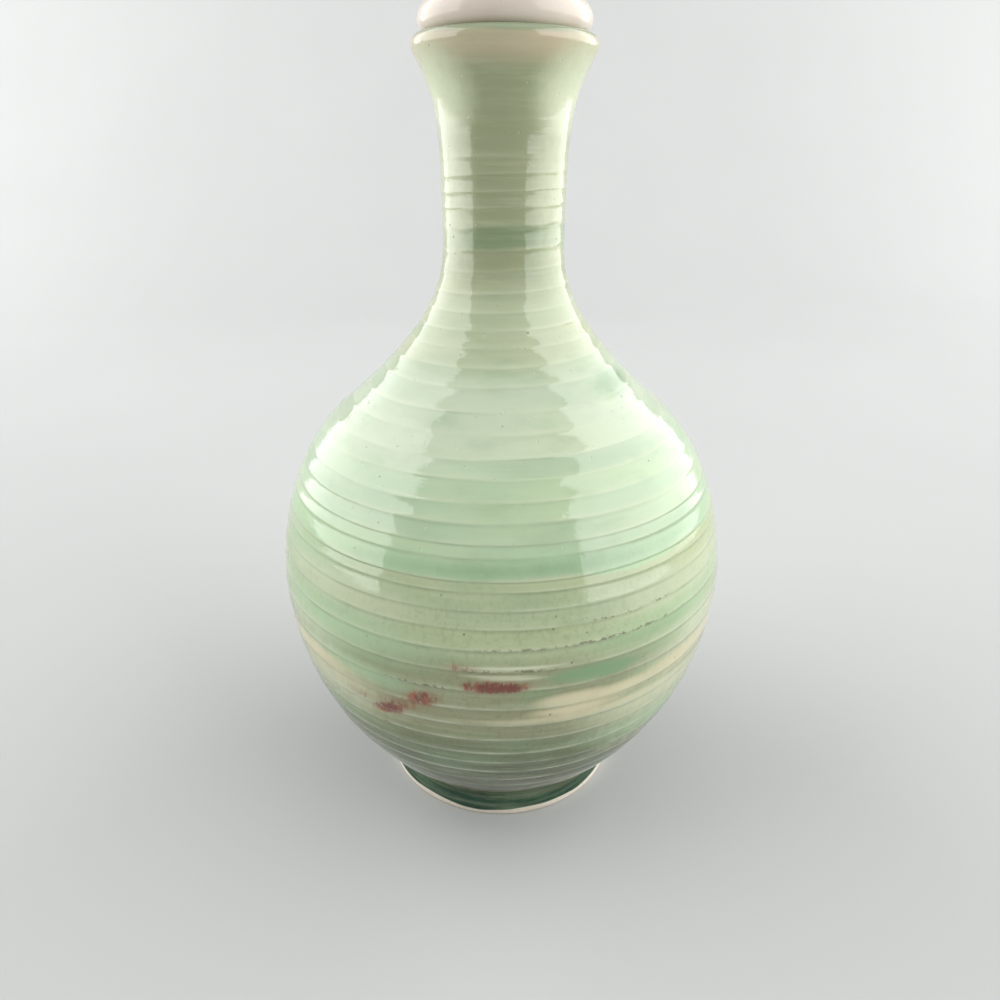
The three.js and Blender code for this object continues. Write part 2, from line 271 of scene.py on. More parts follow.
def work_out(tree, operation, first, second=0.0, third=0.0, clamp=False):
    """One step of arithmetic on numbers or sockets."""
    return add(tree, "ShaderNodeMath", {0: first, 1: second, 2: third}, operation=operation,
               use_clamp=clamp).outputs[0]


def times(tree, first, second):
    return work_out(tree, "MULTIPLY", first, second)


def scaled(tree, value, factor, plus):
    """A value times a factor, and a number added."""
    return work_out(tree, "MULTIPLY_ADD", value, factor, plus)


def one_minus(tree, value):
    return work_out(tree, "SUBTRACT", 1.0, value)


def share_between(tree, value, low, high):
    """0 where the value is at low, 1 where it is at high; low may be above high."""
    if low > high:
        return one_minus(tree, share_between(tree, value, high, low))
    return add(tree, "ShaderNodeMapRange", {"Value": value, "From Min": low, "From Max": high},
               interpolation_type="SMOOTHSTEP").outputs[0]


def blend_colour(tree, share, first, second, way="MIX"):
    made = add(tree, "ShaderNodeMix", data_type="RGBA", blend_type=way)
    for name, value in (("Factor", share), ("A", first), ("B", second)):
        socket = next(s for s in made.inputs if s.name == name and s.enabled)
        if isinstance(value, bpy.types.NodeSocket):
            tree.links.new(value, socket)
        else:
            socket.default_value = value
    return next(s for s in made.outputs if s.enabled)


def mottle(tree, position, scale, detail=3.0, roughness=0.55, stretch=(1, 1, 1)):
    """Soft noise from 0 to 1 at that scale a metre."""
    stretched = add(tree, "ShaderNodeMapping", {"Vector": position, "Scale": stretch})
    return add(tree, "ShaderNodeTexNoise", {"Vector": stretched.outputs[0], "Scale": scale,
               "Detail": detail, "Roughness": roughness}).outputs["Fac"]


def specks(tree, position, scale, size):
    """1 on small round specks, 0 between them; size is their share of the spacing."""
    cells = add(tree, "ShaderNodeTexVoronoi", {"Vector": position, "Scale": scale})
    return share_between(tree, cells.outputs["Distance"], size, size * 0.4)


def vertex_value(tree, name):
    """The number that the piece's vertices hold under that name."""
    return add(tree, "ShaderNodeAttribute", attribute_name=name).outputs["Fac"]


def from_axis(tree, place):
    """How far out from the axis a place lies, in metres."""
    flat = add(tree, "ShaderNodeCombineXYZ", {"X": place["X"], "Y": place["Y"]}).outputs[0]
    return add(tree, "ShaderNodeVectorMath", {0: flat}, operation="LENGTH").outputs["Value"]


def ramp(tree, share, stops):
    """A colour read along (position, colour) stops."""
    made = add(tree, "ShaderNodeValToRGB", {"Fac": share})
    elements = made.color_ramp.elements
    while len(elements) > 1:
        elements.remove(elements[0])
    elements[0].position = stops[0][0]
    elements[0].color = stops[0][1]
    for position, colour in stops[1:]:
        elements.new(position).color = colour
    return made.outputs[0]


def raised(tree, height, depth, under=None):
    """A normal bumped by a height from 0 to 1, depth metres from its low to its high."""
    inputs = {"Height": height, "Strength": 1.0, "Distance": depth}
    if under is not None:
        inputs["Normal"] = under
    return add(tree, "ShaderNodeBump", inputs).outputs[0]


def srgb(red, green, blue):
    """A colour as it looks on screen, 0 to 255, as the linear light a shader takes."""
    def linear(value):
        value /= 255
        return value / 12.92 if value <= 0.04045 else ((value + 0.055) / 1.055) ** 2.4
    return (linear(red), linear(green), linear(blue), 1)


def new_finish(name, **values):
    """A node material. Returns it, its tree, its shader and a position on the piece, in metres."""
    finish = bpy.data.materials.new(name)
    finish.use_nodes = True
    tree = finish.node_tree
    shader = tree.nodes["Principled BSDF"]
    for key, value in values.items():
        shader.inputs[key.replace("_", " ")].default_value = value
    position = add(tree, "ShaderNodeTexCoord").outputs["Object"]
    return finish, tree, shader, position


def wire(tree, shader, colour=None, roughness=None, normal=None):
    for name, socket in (("Base Color", colour), ("Roughness", roughness), ("Normal", normal)):
        if socket is not None:
            tree.links.new(socket, shader.inputs[name])


# Glaze colours; some also carry painted shade and painted light
# Painted shade: the next three are the thick, pooling glaze of the foot and lower body made darker still
# for the shade there
POOLED_AND_SHADED_GREEN = srgb(14, 62, 40)
SHADED_OLIVE = srgb(48, 58, 30)
THICK_AND_SHADED_OLIVE = srgb(78, 90, 54)
OLIVE_CELADON = srgb(154, 160, 123)
NECK_OLIVE = srgb(131, 147, 109)
GREY_CELADON = srgb(178, 191, 151)
DEEP_CELADON = srgb(130, 162, 120)
# Also laid on the lit sides as painted light
LEAF_CELADON_AND_SIDE_LIGHT = srgb(174, 204, 163)
MINT_CELADON = srgb(184, 207, 171)
PALE_CELADON = srgb(194, 208, 179)
# Painted shade: a darker olive easing into the shaded lower body
LOWER_OLIVE = srgb(108, 118, 84)
TAN_OLIVE = srgb(148, 150, 115)
RIM_GREEN = srgb(140, 154, 120)
WARM_CELADON = srgb(182, 192, 157)
# Also laid on the lit sides as painted light
CREAM_GLAZE_AND_SIDE_LIGHT = srgb(216, 208, 172)
PINK_TAN = srgb(196, 182, 152)
# Paler glaze, also painted highlight along the ridges and painted light and reflection on the lit sides
THIN_GLAZE_AND_HIGHLIGHT = srgb(208, 216, 184)
# Painted shade under each ridge's ledge, over glaze that pools there
EDGE_SHADE = srgb(110, 124, 94)
IRON_BLUSH = srgb(112, 32, 20)
THIN_IRON = srgb(158, 94, 70)
IRON_SPECK = srgb(92, 74, 50)
FLECK_SHADE = srgb(238, 241, 235)
BARE_CLAY = srgb(242, 236, 222)
SHADED_CLAY = srgb(222, 208, 186)


# The glaze's colour up the bottle, in millimetres; below about 60 mm it darkens towards the foot with
# painted shade as well as thicker glaze
GLAZE_AND_PAINTED_SHADE_BY_HEIGHT = [
    (7.2, POOLED_AND_SHADED_GREEN), (8.2, SHADED_OLIVE), (18, SHADED_OLIVE), (42, THICK_AND_SHADED_OLIVE), (56, LOWER_OLIVE),
    (66, TAN_OLIVE), (80, TAN_OLIVE), (88, OLIVE_CELADON), (93, GREY_CELADON), (112.3, GREY_CELADON),
    (112.8, LEAF_CELADON_AND_SIDE_LIGHT), (117, LEAF_CELADON_AND_SIDE_LIGHT), (121, MINT_CELADON), (134, MINT_CELADON),
    (141, PALE_CELADON), (154, PALE_CELADON), (161, WARM_CELADON), (175, WARM_CELADON),
    (184, OLIVE_CELADON), (189.3, OLIVE_CELADON), (190, NECK_OLIVE), (195.2, NECK_OLIVE),
    (196.2, OLIVE_CELADON), (233, OLIVE_CELADON), (239, PINK_TAN), (241.8, PINK_TAN),
    (242.9, RIM_GREEN), (243.6, RIM_GREEN)]


def glaze_and_painted_shade_by_height(tree, position, level):
    """The colour by height, wandering a little; low down it holds painted shade."""
    wander = mottle(tree, position, 22, 2.0, stretch=(1, 1, 2.2))
    wandered = work_out(tree, "ADD", level, scaled(tree, wander, 0.026, -0.013))
    return ramp(tree, wandered, [(height / LIP_HEIGHT, colour) for height, colour in GLAZE_AND_PAINTED_SHADE_BY_HEIGHT])


def mottled(tree, position, base, level, ridged, on_band):
    """Breaks the colour up: turn by turn, in blotches, in streaks and in fine flecks low down."""
    tone = mottle(tree, on_band, 14, 2.0)
    greener = times(tree, share_between(tree, tone, 0.5, 0.68), times(tree, ridged, 0.4))
    base = blend_colour(tree, greener, base, DEEP_CELADON)
    paler = times(tree, share_between(tree, tone, 0.5, 0.34), times(tree, ridged, 0.35))
    base = blend_colour(tree, paler, base, CREAM_GLAZE_AND_SIDE_LIGHT, "SOFT_LIGHT")
    blotches = mottle(tree, position, 55, 4.0, stretch=(1, 1, 2.5))
    blotched = times(tree, share_between(tree, blotches, 0.45, 0.75), 0.25)
    base = blend_colour(tree, blotched, base, DEEP_CELADON)
    streaks = mottle(tree, position, 90, 5.0, 0.65, stretch=(0.35, 0.35, 5))
    streaked = times(tree, share_between(tree, streaks, 0.42, 0.78), 0.22)
    base = blend_colour(tree, streaked, base, THIN_GLAZE_AND_HIGHLIGHT)
    flecks = mottle(tree, position, 700, 3.0, 0.65, stretch=(1, 1, 0.7))
    flecked = times(tree, share_between(tree, flecks, 0.46, 0.7), share_between(tree, level, 0.5, 0.4))
    return blend_colour(tree, flecked, base, FLECK_SHADE, "MULTIPLY")


def with_patches(tree, base, masks, ragged):
    """Lays the patches of thinner, thicker and paler glaze over each other, torn at their edges; the
    paler patches out at both sides are partly painted light and painted reflection of the side lamps.
    """
    for name, colour in (("leaf_and_painted_light", LEAF_CELADON_AND_SIDE_LIGHT), ("thin_and_painted_light", THIN_GLAZE_AND_HIGHLIGHT), ("deep", DEEP_CELADON),
                         ("cream_and_painted_light", CREAM_GLAZE_AND_SIDE_LIGHT)):
        torn = work_out(tree, "ADD", masks[name], scaled(tree, ragged, 0.36, -0.18))
        base = blend_colour(tree, share_between(tree, torn, 0.06, 1.05), base, colour)
    return base


def with_ridge_lines(tree, position, base, level, ridged, on_ridge):
    """Thinner glaze and a painted highlight on the edge of each ridge and a little above it, with a dark
    line below where the glaze pools and painted shade falls under the ledge.
    """
    broken = share_between(tree, mottle(tree, position, 45, 3.0, stretch=(1, 1, 2)), 0.35, 0.65)
    broken = times(tree, ridged, scaled(tree, broken, 0.8, 0.2))
    line = work_out(tree, "MAXIMUM", share_between(tree, on_ridge, 0.18, 0.02),
                    share_between(tree, on_ridge, 0.93, 0.99))
    # Painted highlight and thinner glaze on each ridge's edge and a little above it
    thin_and_painted_light = scaled(tree, share_between(tree, on_ridge, 0.45, 0.05), 0.25, times(tree, line, 0.55))
    base = blend_colour(tree, times(tree, thin_and_painted_light, broken), base, THIN_GLAZE_AND_HIGHLIGHT)
    # Painted shade under each ledge with the glaze that pools there, stronger low on the bottle
    pooled_and_shaded = times(tree, share_between(tree, on_ridge, 0.72, 0.9),
                   share_between(tree, on_ridge, 0.97, 0.91))
    low_down = share_between(tree, level, 0.53, 0.5)
    pooled_and_shaded = times(tree, times(tree, pooled_and_shaded, broken), scaled(tree, low_down, 0.35, 0.05))
    return blend_colour(tree, pooled_and_shaded, base, EDGE_SHADE)


def with_iron(tree, position, base, masks, on_ridge, ragged):
    """Iron that comes through in patches, as specks along the ridges' edges and as loose specks."""
    grain = mottle(tree, position, 420, 4.0, 0.7, stretch=(1.3, 1.3, 0.5))
    stained = scaled(tree, work_out(tree, "SUBTRACT", grain, 0.5), 3.6, masks["iron"])
    halo = share_between(tree, masks["iron"], 0.0, 1.0)
    iron = times(tree, share_between(tree, stained, 0.1, 1.3), 0.9)
    iron = times(tree, work_out(tree, "MAXIMUM", iron, 0.3), halo)
    core = share_between(tree, scaled(tree, masks["iron"], 0.16, ragged), 0.52, 0.78)
    base = blend_colour(tree, iron, base, blend_colour(tree, core, THIN_IRON, IRON_BLUSH))
    from_edge = work_out(tree, "PINGPONG", on_ridge, 0.5)
    along_edge = times(tree, masks["specked"], share_between(tree, from_edge, 0.12, 0.03))
    crumbs = share_between(tree, mottle(tree, position, 420, 4.0, 0.8), 0.48, 0.58)
    edge_specks = work_out(tree, "MULTIPLY", crumbs, along_edge, clamp=True)
    few = share_between(tree, mottle(tree, position, 40, 1.0), 0.52, 0.62)
    loose_specks = times(tree, specks(tree, position, 190, 0.1), few)
    dark = work_out(tree, "MAXIMUM", edge_specks, loose_specks)
    return blend_colour(tree, times(tree, dark, 0.6), base, IRON_SPECK)


def bare_of_glaze(tree, position, place):
    """1 where the clay is bare: the foot ring's lowest edge, and under the foot."""
    uneven = times(tree, mottle(tree, position, 28, 2.0), 0.0046)
    edge = share_between(tree, work_out(tree, "SUBTRACT", place["Z"], uneven), 0.0006, 0.0001)
    inward = share_between(tree, from_axis(tree, place),
                           (FOOT_RADIUS - 3.5) * MM, (FOOT_RADIUS - 4.5) * MM)
    low = share_between(tree, place["Z"], (FOOT_HEIGHT - 0.5) * MM, (FOOT_HEIGHT - 1.5) * MM)
    return work_out(tree, "MAXIMUM", edge, times(tree, inward, low))


def glaze_surface(tree, position, bare):
    """Roughness and normal: glossy, with faint throwing lines, an orange peel and pinholes."""
    gloss = scaled(tree, mottle(tree, position, 160, 3.0), 0.1, 0.03)
    rough = add(tree, "ShaderNodeMix", {0: bare, 2: gloss, 3: 0.8}, data_type="FLOAT").outputs[0]
    lines = mottle(tree, position, 300, 4.0, 0.6, stretch=(0.08, 0.08, 3))
    normal = raised(tree, lines, 0.00004)
    normal = raised(tree, mottle(tree, position, 75, 1.0, stretch=(1, 1, 1.6)), 0.00025, normal)
    normal = raised(tree, mottle(tree, position, 330, 2.0), 0.00006, normal)
    pinholes = specks(tree, position, 240, 0.1)
    normal = raised(tree, one_minus(tree, pinholes), 0.00008, normal)
    grit = times(tree, bare, mottle(tree, position, 2500, 4.0))
    return rough, raised(tree, grit, 0.0002, normal)


def celadon_glaze():
    """Celadon that thins on the ridges, pools under them and has let iron through in places, with painted
    highlight along the ridges, painted shade under them and low on the bottle, and painted light on both
    sides.
    """
    finish, tree, shader, position = new_finish("celadon_glaze", IOR=1.6)
    level, turns, ridged = (vertex_value(tree, name) for name in ("level", "turns", "ridged"))
    masks = {name: vertex_value(tree, name) for name in GLAZE_PATCHES}
    place = add(tree, "ShaderNodeSeparateXYZ", {"Vector": position}).outputs
    angle = work_out(tree, "ARCTAN2", place["X"], times(tree, place["Y"], -1.0))
    around = scaled(tree, angle, 1 / FULL_TURN, 0.5)
    on_ridge = work_out(tree, "FRACT", work_out(tree, "SUBTRACT", turns, around))
    band = scaled(tree, work_out(tree, "SUBTRACT", turns, on_ridge), 0.13, -0.065)
    on_band = add(tree, "ShaderNodeCombineXYZ", {"X": place["X"], "Y": place["Y"], "Z": band}).outputs[0]
    ragged = mottle(tree, position, 260, 4.0, 0.7, stretch=(1, 1, 0.6))

    base = glaze_and_painted_shade_by_height(tree, position, level)
    base = mottled(tree, position, base, level, ridged, on_band)
    base = with_patches(tree, base, masks, ragged)
    base = with_ridge_lines(tree, position, base, level, ridged, on_ridge)
    base = with_iron(tree, position, base, masks, on_ridge, ragged)
    bare = bare_of_glaze(tree, position, place)
    clay = blend_colour(tree, mottle(tree, position, 400, 5.0), BARE_CLAY, SHADED_CLAY)
    base = blend_colour(tree, bare, base, clay)
    rough, normal = glaze_surface(tree, position, bare)
    wire(tree, shader, base, rough, normal)
    return finish


def glazed_porcelain():
    """White porcelain with a clear glaze that pools faintly warm."""
    finish, tree, shader, position = new_finish("glazed_porcelain", IOR=1.5)
    warm = share_between(tree, mottle(tree, position, 45, 2.0), 0.35, 0.7)
    colour = blend_colour(tree, warm, srgb(224, 212, 198), srgb(216, 199, 184))
    dots = times(tree, specks(tree, position, 260, 0.06), 0.3)
    colour = blend_colour(tree, dots, colour, srgb(120, 100, 84))
    rough = scaled(tree, mottle(tree, position, 120, 3.0), 0.14, 0.08)
    normal = raised(tree, mottle(tree, position, 280, 2.0), 0.00005)
    wire(tree, shader, colour, rough, normal)
    return finish


def natural_cork():
    """Cork: warm grain with dark pores lying along the bark."""
    finish, tree, shader, position = new_finish("natural_cork")
    grain = mottle(tree, position, 420, 6.0, 0.7, stretch=(1, 1, 0.6))
    colour = ramp(tree, grain, [(0.3, srgb(142, 98, 58)), (0.5, srgb(186, 140, 92)),
                                (0.72, srgb(212, 172, 124))])
    lying = add(tree, "ShaderNodeMapping", {"Vector": position, "Scale": (1, 1, 2.6)}).outputs[0]
    pores = specks(tree, lying, 330, 0.3)
    some = share_between(tree, mottle(tree, position, 150, 2.0), 0.45, 0.6)
    pores = times(tree, pores, some)
    colour = blend_colour(tree, pores, colour, srgb(70, 42, 26))
    granules = add(tree, "ShaderNodeTexVoronoi", {"Vector": position, "Scale": 650},
                   feature="DISTANCE_TO_EDGE")
    joints = share_between(tree, granules.outputs["Distance"], 0.08, 0.0)
    colour = blend_colour(tree, times(tree, joints, 0.45), colour, srgb(112, 74, 44))
    normal = raised(tree, grain, 0.00025)
    normal = raised(tree, one_minus(tree, pores), 0.0005, normal)
    rough = scaled(tree, grain, 0.2, 0.75)
    wire(tree, shader, colour, rough, normal)
    return finish


def turned_brass():
    """Brass off the lathe: fine rings, a little tarnish."""
    finish, tree, shader, position = new_finish("turned_brass", Metallic=1.0)
    tarnish = mottle(tree, position, 240, 4.0, 0.6)
    colour = ramp(tree, tarnish, [(0.3, srgb(138, 108, 62)), (0.5, srgb(190, 160, 102)),
                                  (0.75, srgb(212, 186, 130))])
    place = add(tree, "ShaderNodeSeparateXYZ", {"Vector": position}).outputs
    along = add(tree, "ShaderNodeCombineXYZ", {"X": from_axis(tree, place), "Z": place["Z"]}).outputs[0]
    rings = mottle(tree, along, 6000, 2.0)
    rough = scaled(tree, tarnish, 0.3, 0.14)
    wire(tree, shader, colour, rough, raised(tree, rings, 0.00002))
    return finish


def red_fibre():
    """Vulcanised fibre of the washers: dense, matt, with short fibres showing."""
    finish, tree, shader, position = new_finish("red_fibre")
    fibres = mottle(tree, position, 1500, 5.0, 0.7, stretch=(1, 0.25, 1))
    colour = ramp(tree, fibres, [(0.35, srgb(84, 36, 28)), (0.6, srgb(122, 60, 46))])
    rough = scaled(tree, fibres, 0.25, 0.6)
    wire(tree, shader, colour, rough, raised(tree, fibres, 0.00006))
    return finish


def wick_cotton():
    """Cotton yarn: fine twisted fibres along each strand, browned where it has burnt."""
    finish, tree, shader, position = new_finish("wick_cotton")
    fibres = mottle(tree, position, 3200, 5.0, 0.75, stretch=(1, 1, 0.35))
    colour = ramp(tree, fibres, [(0.3, srgb(188, 178, 156)), (0.6, srgb(236, 230, 212))])
    height = add(tree, "ShaderNodeSeparateXYZ", {"Vector": position}).outputs["Z"]
    singed = share_between(tree, height, (WICK_TOP - 1.6) * MM, WICK_TOP * MM)
    colour = blend_colour(tree, times(tree, singed, 0.35), colour, srgb(120, 98, 70))
    wire(tree, shader, colour, None, raised(tree, fibres, 0.00012))
    shader.inputs["Roughness"].default_value = 0.92
    shader.inputs["Sheen Weight"].default_value = 0.3
    return finish


# The bottle

def ridge_swell(height):
    """How far a ridge stands out from the outline, half its full height: full below, soft above."""
    neckward = smooth_step(SHOULDER_HEIGHT, NECK_HEIGHT, height)
    softened = 0.75 - 0.1 * smooth_step(CRESTS_FROM, SHOULDER_SOFTENS_TO, height)
    softened -= 0.25 * smooth_step(NECK_SOFTENS_FROM, NECK_SOFTENS_TO, height)
    ends = smooth_step(RIDGES_FROM + 0.6, RIDGES_FROM + 2, height)
    ends *= 1 - smooth_step(RIDGES_TO - 11, RIDGES_TO - 2, height)
    return mix(RIDGE_HEIGHT, NECK_RIDGE_HEIGHT, neckward) / 2 * softened * ends


def on_the_wall(turn, share):
    """Radius and height of the thrown wall at that share of the way up from one ridge line."""
    height = mix(ridge_height_at(turn), ridge_height_at(turn + 1), share)
    height = min(max(height, RIDGES_FROM), RIDGES_TO)
    crested = smooth_step(CRESTS_FROM, CRESTS_WHOLE_FROM, height)
    stands_out = mix(read_off(LEDGE, share), read_off(CREST, share), crested)
    angle = FULL_TURN * turn
    wander = Vector((2 * math.sin(angle), 2 * math.cos(angle), turn * 1.7))
    uneven = 0.65 + UNEVENNESS * noise.noise(wander)
    return read_off(outline, height) + ridge_swell(height) * stands_out * uneven, height


def patch(angle, height, at_angle, at_height, half_width, half_height, slope):
    """1 in the middle of a patch of glaze and 0 at its edge."""
    away = (angle - at_angle + 180) % 360 - 180
    across = away / half_width
    up = (height - at_height - slope * away) / half_height
    return max(1 - across * across - up * up, 0)


# Each patch: its middle's angle, in degrees from the front to the right, and height, its half width
# in degrees and half height, how much it rises in a degree, and its strength
# The paler patches out at both sides, past about 40 degrees from the front, are partly painted light and
# painted reflection of the side lamps
GLAZE_PATCHES = {
    "iron": [(-1.3, 82, 9.5, 2.9, 0, 1.7), (-8, 88, 5.5, 2, 0, 0.8), (-1.5, 84, 12, 5, 0, 0.5),
             (-17.8, 75, 5.5, 4.4, 0.4, 1.4), (-26.5, 67.6, 6.5, 3.6, 0.3, 1.4),
             (-23, 71, 13, 5, 0.45, 0.85), (-34, 69, 8, 3, 0, 0.6), (51, 168.8, 9, 0.4, 0, 0.8)],
    # Those past 40 degrees either side are partly painted light on the lit sides
    "cream_and_painted_light": [(26, 75.4, 20, 3.6, 0.03, 1), (52, 76.5, 30, 5, 0.03, 1), (44, 62, 36, 12, 0, 0.4),
              (-46, 73, 26, 8, 0, 0.6), (46, 45, 30, 10, 0, 0.25), (24, 69.5, 44, 2, 0.02, 0.8),
              (-52, 75.5, 24, 4, 0, 0.9), (16, 76, 12, 3.6, 0.03, 1.1),
              (17, 72, 14, 2.8, 0.02, 1)],
    "deep": [(21, 84.4, 15, 3.4, 0, 1.2), (38, 85.6, 13, 3.2, 0.02, 0.5), (34, 92, 22, 3, 0, 0.5),
             (0, 115, 50, 3.4, 0.02, 0.55), (-30, 84.5, 24, 3, 0, 0.45), (60, 152.5, 26, 5, 0, 0.8),
             (8, 79, 7, 4, 0, 0.5), (160, 118, 70, 6, 0.01, 0.8), (-150, 62, 50, 6, 0.02, 0.7)],
    # All out on the sides: partly painted light on the lit sides
    "leaf_and_painted_light": [(-42, 91, 34, 12, 0.02, 0.75), (44, 93, 36, 12, 0.02, 0.65), (-38, 79, 26, 6, 0, 0.75),
             (40, 78.5, 24, 4, 0, 0.5), (46, 56, 36, 11, 0, 0.75), (-46, 58, 26, 7, 0, 0.4),
             (-52, 108, 34, 8, 0, 0.6)],
    # All but the last two lie out on the sides: partly painted reflection of the side lamps
    "thin_and_painted_light": [(-58, 228, 44, 17, 0, 1), (58, 229, 46, 16, 0, 1), (-58, 204, 40, 36, 0, 0.75),
             (54, 204, 40, 36, 0, 0.6), (-50, 134, 34, 24, 0, 0.3), (-40, 103, 32, 8, 0, 0.6),
             (44, 103, 38, 8, 0, 0.65), (54, 84, 28, 10, 0, 0.7), (-52, 84, 24, 8, 0, 0.5),
             (42, 67, 34, 9, 0, 0.75), (-44, 67, 28, 9, 0, 0.65), (38, 46, 26, 8, 0, 0.35),
             (1, 85.4, 12, 0.9, 0, 1.2), (2, 88.6, 15, 0.9, 0, 1.1)],
    "specked": [(30, 100.6, 13, 3, 0, 2), (26, 94.2, 18, 3, 0, 2), (-18, 81, 9, 2, 0, 2),
                (-29, 60.5, 10, 2, 0, 1.4), (1, 87.5, 14, 2, 0, 1.4), (4, 94, 12, 2, 0, 1),
                (42, 97, 16, 5, 0, 0.8)]}


def patched(kind, angle, height):
    """How strongly one kind of patch shows at a place on the bottle."""
    return max(patch(angle, height, *place) * strength for *place, strength in GLAZE_PATCHES[kind])


def make_bottle(glaze):
    """The thrown bottle. Its vertices hold what the glaze reads: level, turns, ridged and the patches."""
    bm = bmesh.new()
    layers = {name: bm.verts.layers.float.new(name)
              for name in ("level", "turns", "ridged", *GLAZE_PATCHES)}
    recess = FOOT_RECESS_RADIUS
    spin(bm, [(0, FOOT_RECESS_DEPTH), (recess - 2.5, FOOT_RECESS_DEPTH),
              (recess - 0.8, FOOT_RECESS_DEPTH - 1), (recess + 0.2, 0.5), (recess + 0.9, 0),
              (FOOT_RADIUS - 1.6, 0), (FOOT_RADIUS - 0.8, 0.25)] + foot_side, BOTTLE_COLUMNS)
    above = [(radius, height) for radius, height in neck if height > RIDGES_TO + 0.5]
    rim = round_off((LIP_RADIUS - 3.6, LIP_HEIGHT - 1), 1, 90, 180, 4)
    inside = [point for part in (hollow_mouth, hollow_neck, hollow_shoulder, hollow_belly)
              for point in reversed(part[1:])]
    spin(bm, [(read_off(outline, RIDGES_TO), RIDGES_TO)] + above + lip[1:] + rim + inside
         + [(HOLLOW_FLOOR_RADIUS, FLOOR_HEIGHT), (0, FLOOR_HEIGHT)], BOTTLE_COLUMNS)
    for vert in bm.verts:
        vert[layers["level"]] = vert.co.z / MM / LIP_HEIGHT

    shares = [share for share, _ in LEDGE[:-1]]
    whole_turns = range(-2, len(RIDGE_HEIGHTS) + 2)
    for vert, turns, around in wind(bm, shares, whole_turns, BOTTLE_COLUMNS, on_the_wall):
        height = vert.co.z / MM
        vert[layers["turns"]] = turns
        vert[layers["ridged"]] = ridge_swell(height) * 2 / RIDGE_HEIGHT
        along = turns - math.sin(FULL_TURN * (around - 0.5)) / FULL_TURN
        settled = smooth_step(RIDGES_TO - 6, RIDGES_TO - 1, height)
        settled += smooth_step(RIDGES_FROM + 5, RIDGES_FROM, height)
        vert[layers["level"]] = mix(ridge_height_at(along), height, settled) / LIP_HEIGHT
    for vert in bm.verts:
        angle = math.degrees(math.atan2(vert.co.x, -vert.co.y))
        for kind in GLAZE_PATCHES:
            vert[layers[kind]] = patched(kind, angle, vert.co.z / MM)
    bmesh.ops.remove_doubles(bm, verts=bm.verts, dist=WINDING_WELD)
    return finished("bottle_thrown", bm, glaze, smooth_angle=60)


# The wick holder

def make_disc(porcelain):
    """The porcelain disc and the stem under it, drilled for the tube."""
    bm = bmesh.new()
    edge = DISC_THICKNESS / 2
    bore = TUBE_RADIUS + GAP
    rounded = round_off((DISC_RADIUS - edge, DISC_BOTTOM + edge), edge, -90, 90, 20)
    spin(bm, [(bore, STEM_BOTTOM + 0.4), (bore + 0.4, STEM_BOTTOM)]
         + round_off((STEM_RADIUS - 0.8, STEM_BOTTOM + 0.8), 0.8, -90, 0, 5)
         + round_off((STEM_RADIUS + 2, DISC_BOTTOM - 2), 2, 180, 90, 8) + rounded
         + round_off((bore + 0.6, DISC_TOP - 0.6), 0.6, 90, 180, 5)
         + [(bore, STEM_BOTTOM + 0.4)], HOLDER_COLUMNS)
    bmesh.ops.remove_doubles(bm, verts=bm.verts, dist=WELD)
    return finished("holder_disc", bm, porcelain)


PITS_PER_METRE = 900
PIT_DEPTH = 0.12


def make_cork(cork):
    """The cork round the stem: its side follows the neck and is pitted."""
    bm = bmesh.new()
    mouth = sorted((height, radius) for radius, height in hollow_mouth)
    bore = STEM_RADIUS + GAP
    heights = [mix(CORK_BOTTOM + 0.5, CORK_TOP - 0.8, i / 20) for i in range(21)]
    side = [(read_off(mouth, height) - GAP - 0.1, height) for height in heights]
    low, high = side[0][0], side[-1][0]
    spin(bm, [(bore, CORK_BOTTOM + 0.3), (bore + 0.3, CORK_BOTTOM), (low - 0.5, CORK_BOTTOM)] + side
         + round_off((high - 0.8, CORK_TOP - 0.8), 0.8, 10, 90, 4)
         + [(bore + 0.4, CORK_TOP), (bore, CORK_TOP - 0.4), (bore, CORK_BOTTOM + 0.3)], HOLDER_COLUMNS)
    bmesh.ops.remove_doubles(bm, verts=bm.verts, dist=WELD)
    for vert in bm.verts:
        reach = Vector((vert.co.x, vert.co.y, 0))
        if reach.length > (bore + 0.5) * MM:
            pitted = noise.noise(vert.co * PITS_PER_METRE) * PIT_DEPTH - 0.1
            vert.co += reach.normalized() * min(pitted, 0) * MM
    return finished("cork_bung", bm, cork)


THREAD_PITCH = 0.75
THREAD_DEPTH = 0.3
THREAD_TOP = 204.5


def on_the_thread(turn, share):
    """Radius and height on the screw thread at the tube's lower end, crest at share 0."""
    start = TUBE_BOTTOM + 0.3
    height = min(max(start + (turn + share) * THREAD_PITCH, start), THREAD_TOP)
    ends = smooth_step(start, start + 0.5, height)
    ends *= 1 - smooth_step(THREAD_TOP - 1, THREAD_TOP, height)
    return TUBE_RADIUS - THREAD_DEPTH * ends * (share * 2), height


